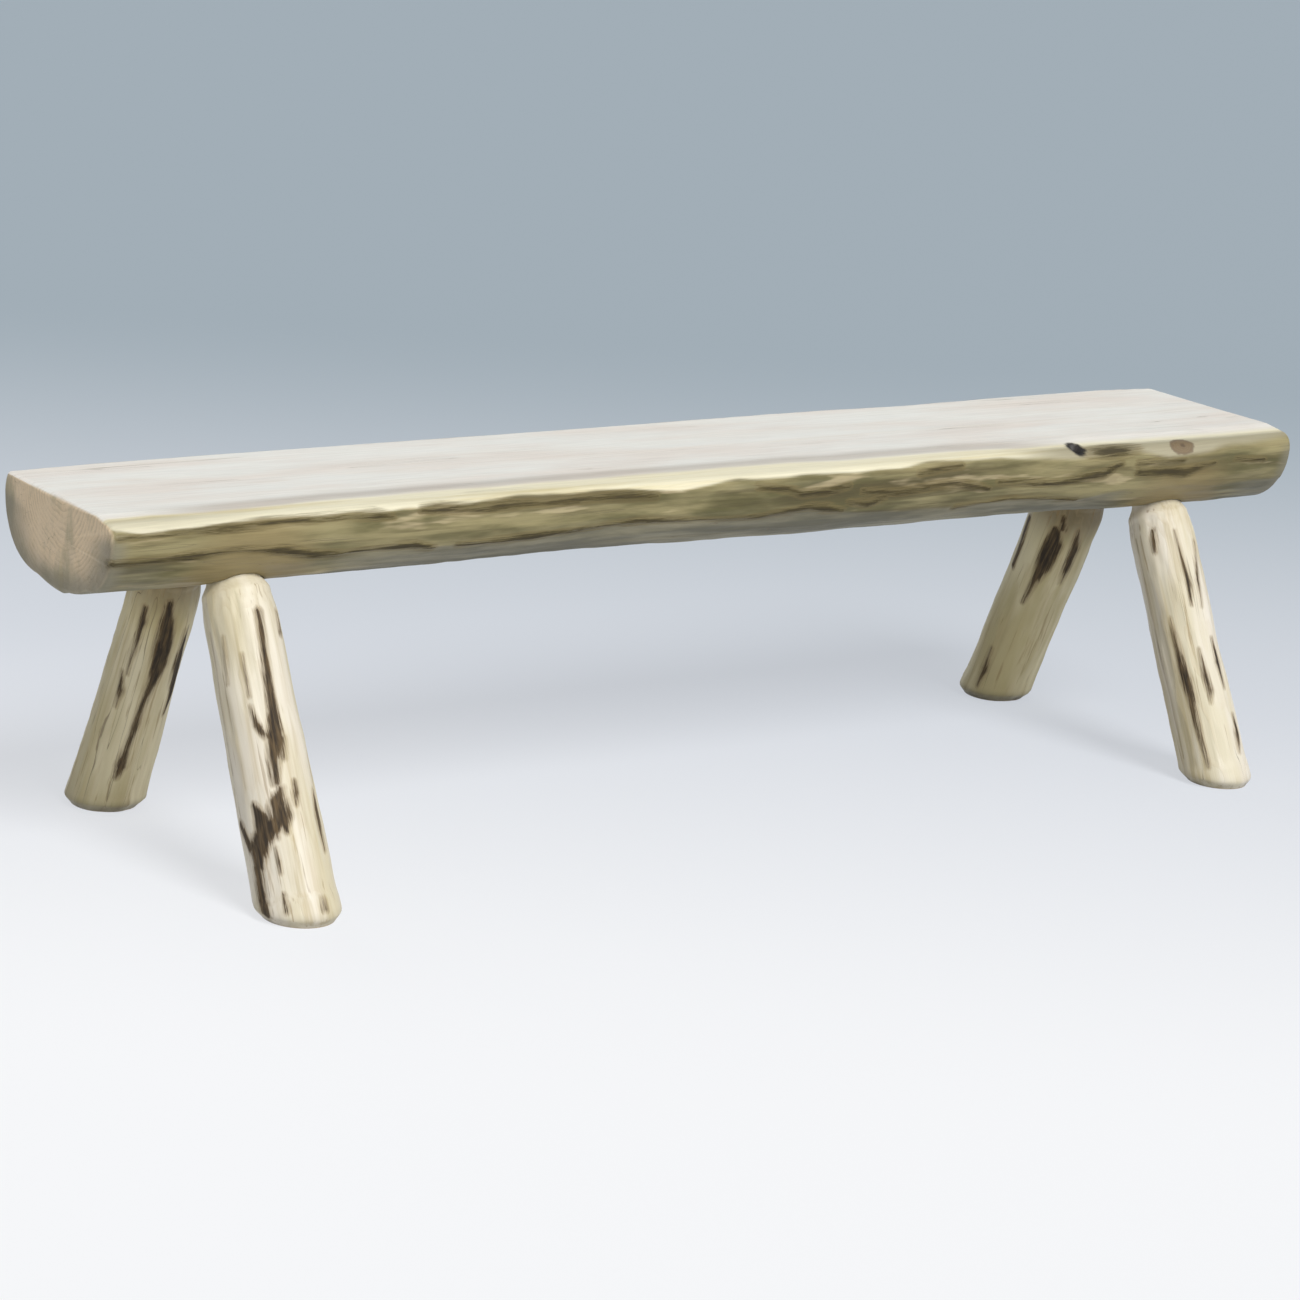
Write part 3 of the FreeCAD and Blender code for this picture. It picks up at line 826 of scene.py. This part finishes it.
def noise(tree, vector, scale, detail=3.0, roughness=0.55):
    """Soft random values between 0 and 1."""
    inputs = {"Vector": stretch(tree, vector, scale), "Scale": 1.0, "Detail": detail, "Roughness": roughness}
    return place_node(tree, "ShaderNodeTexNoise", inputs).outputs["Fac"]


def unrest(tree, *choices):
    """Soft random values between -0.5 and 0.5."""
    return calc(tree, "SUBTRACT", noise(tree, *choices), 0.5)


def spread(tree, value, low, high, to_low=0.0, to_high=1.0):
    """A soft rise from one value to another."""
    inputs = {"Value": value, "From Min": low, "From Max": high, "To Min": to_low, "To Max": to_high}
    return place_node(tree, "ShaderNodeMapRange", inputs, interpolation_type="SMOOTHSTEP").outputs[0]


def tone(colour):
    """A colour as it is seen on a screen, from 0 to 255, made linear. A socket stays as it is."""
    if isinstance(colour, bpy.types.NodeSocket):
        return colour
    parts = [value / 255 for value in colour]
    return [value / 12.92 if value <= 0.04045 else ((value + 0.055) / 1.055) ** 2.4 for value in parts] + [1]


def mix(tree, share, first, second, blend_type="MIX"):
    """A mix of two colours."""
    inputs = {0: share, 6: tone(first), 7: tone(second)}
    return place_node(tree, "ShaderNodeMix", inputs, data_type="RGBA", blend_type=blend_type).outputs[2]


def blend(tree, value, ends, first, second):
    """A mix of two colours that follows a value as it rises."""
    return mix(tree, spread(tree, value, *ends), first, second)


def cover(tree, under, *layers):
    """Lays colours over one another. Each layer: its mask, its strength and its colour."""
    for mask, strength, colour in layers:
        under = mix(tree, times(tree, mask, strength), under, colour)
    return under


def wood_grain(tree, place, rings_per_metre):
    """Growth rings round the heart of the log, streaks along it and fine fibres."""
    across = stretch(tree, place, (0, 1, 1))
    radius = place_node(tree, "ShaderNodeVectorMath", {0: across}, operation="LENGTH").outputs["Value"]
    bent = calc(tree, "MULTIPLY_ADD", unrest(tree, place, (1.3, 5, 5)), 0.034, radius)
    bent = calc(tree, "MULTIPLY_ADD", noise(tree, place, (0.2, 17, 17), 2), 0.024, bent)
    saw = calc(tree, "FRACT", times(tree, bent, rings_per_metre))
    ring = spread(tree, saw, 0.25, 0.97)
    late = calc(tree, "SUBTRACT", 1.0, spread(tree, saw, 0.95, 1.0))
    strong = spread(tree, noise(tree, place, (0.5, 60, 60), 2), 0.35, 0.65, 0.15, 1.0)
    rings = times(tree, times(tree, ring, late), strong)
    return rings, noise(tree, place, (2.2, 50, 50), 5, 0.62), noise(tree, place, (16, 520, 520), 3, 0.6)


def bark_stain(tree, place, mask, ragged):
    """Ragged bark from a mask that is above 0 inside a stroke, its dark core, and the stain round it."""
    edge = calc(tree, "MULTIPLY_ADD", unrest(tree, place, (11, 210, 210), 5, 0.68), ragged, mask)
    edge = calc(tree, "MULTIPLY_ADD", unrest(tree, place, (30, 640, 640)), 1.3, edge)
    bark = spread(tree, edge, -0.30, 0.50)
    flecks = spread(tree, noise(tree, place, (24, 330, 330)), 0.48, 0.68, 1.0, 0.6)
    core = times(tree, spread(tree, edge, 0.15, 0.85), flecks)
    halo = times(tree, spread(tree, edge, -1.1, 0.15), spread(tree, mask, -1.0, -0.5))
    stain = calc(tree, "MAXIMUM", calc(tree, "SUBTRACT", halo, bark), 0.0)
    return bark, core, stain


def knot_figure(tree, place, mask):
    """A knot from a mask that is 1 at its middle: its brown rings, its dark border and its heart."""
    bent = calc(tree, "MULTIPLY_ADD", unrest(tree, place, (90, 130, 130), 2), 0.28, mask)
    inside = spread(tree, bent, 0.38, 0.58)
    rings = calc(tree, "MULTIPLY_ADD", calc(tree, "SINE", times(tree, bent, 60.0)), 0.05, 0.95)
    border = calc(tree, "SUBTRACT", spread(tree, bent, 0.36, 0.47), spread(tree, bent, 0.49, 0.60))
    return times(tree, inside, rings), border, spread(tree, bent, 0.80, 0.92)


def drying_checks(tree, place, amount):
    """Thin drying checks along the grain."""
    away = calc(tree, "ABSOLUTE", unrest(tree, place, (1.0, 52, 52), 2, 0.4))
    line = calc(tree, "SUBTRACT", 1.0, spread(tree, away, 0.0012, 0.0045))
    some = spread(tree, noise(tree, place, (3.4, 13, 13), 2), 0.52, 0.60)
    return [times(tree, times(tree, line, some), amount)]


def new_group(build, values, results):
    """A shared effect. It takes a place and some values, and its results are what build returns."""
    group = bpy.data.node_groups.new(build.__name__, "ShaderNodeTree")
    group.interface.new_socket("Place", in_out="INPUT", socket_type="NodeSocketVector")
    for name in values:
        group.interface.new_socket(name, in_out="INPUT", socket_type="NodeSocketFloat")
    for name in results:
        group.interface.new_socket(name, in_out="OUTPUT", socket_type="NodeSocketFloat")
    given = group.nodes.new("NodeGroupInput").outputs
    end = group.nodes.new("NodeGroupOutput").inputs
    made = build(group, *[given[name] for name in ["Place"] + values])
    for name, value in zip(results, made):
        group.links.new(value, end[name])
    return group


GRAIN = new_group(wood_grain, ["Rings per metre"], ["Rings", "Streaks", "Fibre"])
BARK = new_group(bark_stain, ["Mask", "Ragged"], ["Bark", "Core", "Stain"])
KNOT = new_group(knot_figure, ["Mask"], ["Brown", "Border", "Heart"])
CHECK = new_group(drying_checks, ["Amount"], ["Check"])


def effect(tree, group, *values):
    """Places a shared effect in a material, with its place and its other values in their order."""
    return place_node(tree, "ShaderNodeGroup", dict(enumerate(values)), node_tree=group).outputs


def new_material(name):
    """A material with its Principled shader, and the node tree to fill."""
    material = bpy.data.materials.new(name)
    material.use_nodes = True
    return material, material.node_tree, material.node_tree.nodes["Principled BSDF"]


def field(tree, name):
    """A field that the mesh carries."""
    return place_node(tree, "ShaderNodeAttribute", {}, attribute_name=name).outputs["Vector"]


def parts(tree, name):
    """The three parts of a field."""
    return place_node(tree, "ShaderNodeSeparateXYZ", {0: field(tree, name)}).outputs


def finish_surface(tree, shader, colour, roughness, height, strength):
    """Joins colour, roughness and height to the shader."""
    tree.links.new(colour, shader.inputs["Base Color"])
    tree.links.new(roughness, shader.inputs["Roughness"])
    bump = place_node(tree, "ShaderNodeBump", {"Height": height, "Strength": strength, "Distance": 0.0012})
    tree.links.new(bump.outputs[0], shader.inputs["Normal"])


def barked_wood(tree, rings_per_metre, ragged, checks):
    """What colours wood with bark on it: its place, marks, grain, bark, knots and checks."""
    place = field(tree, "grain")
    marks = parts(tree, "marks")
    grain = effect(tree, GRAIN, place, rings_per_metre)
    bark = effect(tree, BARK, place, marks[0], ragged)
    knot = effect(tree, KNOT, place, marks[1])
    check = effect(tree, CHECK, place, checks)["Check"]
    return place, marks, grain, bark, knot, check


def finish_barked(tree, shader, colour, effects, roughness, depths, strength):
    """Joins a colour to the shader, with the roughness and the relief of rings, bark and checks."""
    _, _, grain, bark, _, check = effects
    rings, raised, sunk = depths
    rough = spread(tree, grain["Streaks"], 0.3, 0.7, *roughness)
    rough = calc(tree, "MAXIMUM", rough, times(tree, bark["Bark"], 0.85))
    height = calc(tree, "MULTIPLY_ADD", grain["Fibre"], 0.35, times(tree, grain["Rings"], rings))
    height = calc(tree, "MULTIPLY_ADD", bark["Bark"], raised, height)
    height = calc(tree, "MULTIPLY_ADD", check, sunk, height)
    finish_surface(tree, shader, colour, rough, height, strength)


def half_log_material():
    """Pale sawn wood on top, a creamy shaved edge, khaki cambium with bark below, brown end grain."""
    material, tree, shader = new_material("half_log_wood")
    effects = barked_wood(tree, 150.0, 3.2, 1.0)
    place, marks, grain, bark, knot, check = effects
    kind = parts(tree, "kind")
    extra = parts(tree, "extra")

    cloud = noise(tree, place, (3, 14, 14))
    top = blend(tree, cloud, (0.35, 0.68), (238, 237, 230), (234, 226, 216))
    top = cover(tree, top, (grain["Rings"], 0.17, (216, 204, 182)))
    top = blend(tree, grain["Streaks"], (0.56, 0.78, 0.0, 0.3), top, (214, 206, 192))
    edge = blend(tree, grain["Streaks"], (0.45, 0.72), (231, 224, 196), (211, 198, 156))
    face = mix(tree, kind[2], top, edge)
    face = blend(tree, kind[2], (1.0, 2.0, 0.0, 0.9), face, (150, 142, 116))
    # Painted shadow line where the flat meets the rounding of the front edge
    face = cover(tree, face, (marks[2], 0.55, (166, 153, 138)))

    patch = noise(tree, place, (5, 30, 30), 4)
    pale = spread(tree, noise(tree, place, (7, 44, 44)), 0.60, 0.70)
    # Grey laid on the underside through extra[1]: painted shade
    below = blend(tree, patch, (0.38, 0.62), (98, 95, 78), (134, 129, 108))
    side = blend(tree, patch, (0.36, 0.62), (88, 83, 46), (146, 136, 96))
    side = blend(tree, grain["Streaks"], (0.46, 0.68, 0.0, 0.85), side, (76, 67, 38))
    side = cover(
        tree, side,
        (pale, 0.45, (206, 188, 150)),
        (grain["Rings"], 0.20, (110, 92, 56)),
        (extra[1], 0.85, below),
    )
    side = blend(tree, extra[1], (-1.0, -0.1, 0.75, 0.0), side, (136, 119, 78))

    end = cover(tree, (226, 203, 168), (grain["Rings"], 0.4, (172, 149, 114)))
    end = blend(tree, noise(tree, place, (2, 22, 12), 4), (0.42, 0.66, 0.0, 0.75), end, (158, 148, 116))
    wood = mix(tree, kind[0], side, face)
    wood = mix(tree, kind[1], wood, end)
    wood = cover(
        tree, wood,
        (extra[2], 0.8, (124, 119, 100)),
        (bark["Stain"], 0.8, (108, 94, 54)),
        (bark["Bark"], 0.8, (82, 70, 31)),
        (bark["Core"], 0.8, (43, 35, 12)),
        (knot["Brown"], 0.95, (110, 90, 62)),
        (knot["Border"], 0.6, (92, 72, 50)),
        (knot["Heart"], 0.7, (66, 50, 34)),
        # Painted shade: near black inside the lost knot's hole
        (extra[0], 1.0, (26, 20, 14)),
        (check, 0.5, (120, 102, 76)),
    )
    worn = spread(tree, grain["Fibre"], 0.3, 0.7, 0.94, 1.04)
    shade = place_node(tree, "ShaderNodeCombineXYZ", {0: worn, 1: worn, 2: worn}).outputs[0]
    wood = mix(tree, 1.0, wood, shade, "MULTIPLY")
    finish_barked(tree, shader, wood, effects, (0.48, 0.66), (0.25, 0.6, -1.2), 0.7)
    return material


def peeled_pole_material():
    """Cream peeled sapwood, long tan streaks, ragged dark bark; painted shade browns the foot and the rear
    poles' tops.
    """
    material, tree, shader = new_material("peeled_pole_wood")
    effects = barked_wood(tree, 380.0, 3.0, 0.8)
    place, _, grain, bark, knot, check = effects
    kind = parts(tree, "kind")
    cloud = noise(tree, place, (4, 22, 22))
    wood = blend(tree, cloud, (0.36, 0.66), (220, 213, 200), (207, 198, 172))
    # Tan wood, strong on the rear poles, where it is partly painted shade
    tan = blend(tree, cloud, (0.36, 0.62), (218, 206, 164), (184, 170, 120))
    wood = mix(tree, kind[0], wood, tan)
    # Painted shade under the log: dark brown at the tops of the rear poles
    wood = blend(tree, kind[0], (0.85, 1.5, 0.0, 0.8), wood, (100, 84, 56))
    wood = blend(tree, grain["Streaks"], (0.50, 0.74, 0.0, 0.7), wood, (172, 155, 112))
    thin = spread(tree, noise(tree, place, (9, 170, 170)), 0.61, 0.70)
    core = blend(tree, noise(tree, place, (26, 240, 240)), (0.43, 0.68), (30, 21, 9), (86, 68, 42))
    # Painted shade on the foot
    foot = times(tree, kind[2], spread(tree, grain["Streaks"], 0.3, 0.7, 0.55, 0.95))
    wood = cover(
        tree, wood,
        (grain["Rings"], 0.16, (184, 160, 116)),
        (thin, 0.5, (138, 110, 66)),
        (bark["Stain"], 0.6, (146, 124, 86)),
        (bark["Bark"], 0.92, (94, 74, 44)),
        (bark["Core"], 0.92, core),
        (knot["Brown"], 0.6, (150, 122, 78)),
        (knot["Border"], 0.5, (88, 66, 40)),
        (foot, 1.0, (92, 84, 66)),
    )
    end = mix(tree, grain["Rings"], (190, 168, 130), (140, 112, 78))
    wood = mix(tree, kind[1], wood, end)
    wood = cover(tree, wood, (check, 0.75, (96, 74, 48)))
    finish_barked(tree, shader, wood, effects, (0.44, 0.62), (0.15, 0.7, -1.0), 0.6)
    return material


def hardwood_material():
    """Split hardwood for the wedges, brown with darker fibres."""
    material, tree, shader = new_material("split_hardwood")
    where = place_node(tree, "ShaderNodeTexCoord", {}).outputs["Object"]
    quarter = {"Vector": where, "Angle": math.pi / 2, "Axis": (0, 1, 0)}
    turned = place_node(tree, "ShaderNodeVectorRotate", quarter).outputs[0]
    grain = effect(tree, GRAIN, turned, 700.0)
    wood = blend(tree, grain["Streaks"], (0.4, 0.7), (176, 128, 82), (132, 88, 52))
    wood = cover(tree, wood, (grain["Rings"], 0.4, (104, 66, 38)))
    rough = spread(tree, grain["Fibre"], 0.3, 0.7, 0.5, 0.7)
    finish_surface(tree, shader, wood, rough, grain["Fibre"], 0.5)
    return material


# The studio

def seen_directly(tree):
    """1 for rays from the camera or off something shiny or clear, 0 for those that light the bench."""
    rays = place_node(tree, "ShaderNodeLightPath", {}).outputs
    shiny = calc(tree, "MAXIMUM", rays["Is Glossy Ray"], rays["Is Transmission Ray"])
    return calc(tree, "MAXIMUM", rays["Is Camera Ray"], shiny)


def far_ahead(tree, coordinates):
    """How far a place lies in the direction that the camera looks."""
    where = place_node(tree, "ShaderNodeTexCoord", {}).outputs[coordinates]
    inputs = {0: where, 1: HEADING}
    return place_node(tree, "ShaderNodeVectorMath", inputs, operation="DOT_PRODUCT").outputs["Value"]


def make_floor():
    """A plain pale floor, lighter towards the viewer."""
    mesh = bpy.data.meshes.new("studio_floor")
    corners = [(x * FLOOR_SIZE, y * FLOOR_SIZE, -FLOOR_DROP) for x, y in ((-1, -1), (1, -1), (1, 1), (-1, 1))]
    mesh.from_pydata(corners, [], [(0, 1, 2, 3)])
    floor = place_object("studio_floor", mesh)
    material, tree, shader = new_material("pale_floor")
    ahead = far_ahead(tree, "Object")
    colour = blend(tree, ahead, (-1.2, 0.8), NEAR_TONE, (217, 221, 228))
    colour = blend(tree, ahead, (0.0, 3.4), colour, FAR_TONE)
    tree.links.new(colour, shader.inputs["Base Color"])
    shader.inputs["Roughness"].default_value = 0.9
    shader.inputs["Specular IOR Level"].default_value = 0.1
    glow = place_node(tree, "ShaderNodeEmission", {"Color": colour})
    share = times(tree, seen_directly(tree), FLOOR_GLOW)
    both = place_node(tree, "ShaderNodeMixShader", {0: share, 1: shader.outputs[0], 2: glow.outputs[0]})
    tree.links.new(both.outputs[0], tree.nodes["Material Output"].inputs["Surface"])
    mesh.materials.append(material)


def make_light():
    """A soft key light from the front and above, a weak low one from behind and an even sky."""
    for name, direction, strength, softness in LAMPS:
        lamp = bpy.data.lights.new(name, "SUN")
        lamp.energy = strength
        lamp.angle = math.radians(softness)
        holder = place_object(name, lamp)
        holder.rotation_mode = "QUATERNION"
        holder.rotation_quaternion = Vector(direction).to_track_quat("-Z", "Y")
    world = bpy.data.worlds.new("studio")
    bpy.context.scene.world = world
    world.use_nodes = True
    tree = world.node_tree
    tree.nodes.clear()
    sky = place_node(tree, "ShaderNodeBackground", {"Color": (0.97, 0.98, 1.0, 1), "Strength": 0.19})
    colour = blend(tree, far_ahead(tree, "Generated"), (-0.06, 0.08), NEAR_TONE, FAR_TONE)
    behind = place_node(tree, "ShaderNodeBackground", {"Color": colour, "Strength": 1.0})
    shares = {0: seen_directly(tree), 1: sky.outputs[0], 2: behind.outputs[0]}
    shown = place_node(tree, "ShaderNodeMixShader", shares)
    place_node(tree, "ShaderNodeOutputWorld", {"Surface": shown.outputs[0]})


def make_camera():
    """The camera at the place and angle of the photograph."""
    x, y, _ = HEADING
    level = Vector((y, -x, 0))
    ahead = Vector((x * math.cos(CAMERA_DIP), y * math.cos(CAMERA_DIP), -math.sin(CAMERA_DIP)))
    over = level.cross(ahead)
    right = level * math.cos(CAMERA_ROLL) + over * math.sin(CAMERA_ROLL)
    top = over * math.cos(CAMERA_ROLL) - level * math.sin(CAMERA_ROLL)
    data = bpy.data.cameras.new("camera")
    data.lens = CAMERA_LENS
    data.sensor_width = SENSOR_WIDTH
    data.clip_end = 200
    camera = place_object("camera", data)
    turn = Matrix((right, top, -ahead)).transposed().to_4x4()
    camera.matrix_world = Matrix.Translation(CAMERA_PLACE) @ turn
    bpy.context.scene.camera = camera


# The bench

def dress(piece, node, material):
    """Puts a finished piece in its solid's place."""
    piece.data.materials.clear()
    piece.data.materials.append(material)
    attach(piece, "root")
    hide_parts(node)


poles = [Pole(name) for name in LEGS]
log_wood = half_log_material()
pole_wood = peeled_pole_material()
wedge_wood = hardwood_material()

seat = make_seat(poles)
cut_away(seat, [bore_cutter(pole) for pole in poles])
dress(seat, SEAT, log_wood)
for pole in poles:
    leg = make_pole(pole)
    cut_away(leg, [kerf_cutter(pole)])
    dress(leg, pole.node, pole_wood)
    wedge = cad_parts[pole.name + "_wedge"]
    wedge.data.materials.clear()
    wedge.data.materials.append(wedge_wood)

make_floor()
make_light()
make_camera()
bpy.context.scene.view_settings.view_transform = "Standard"
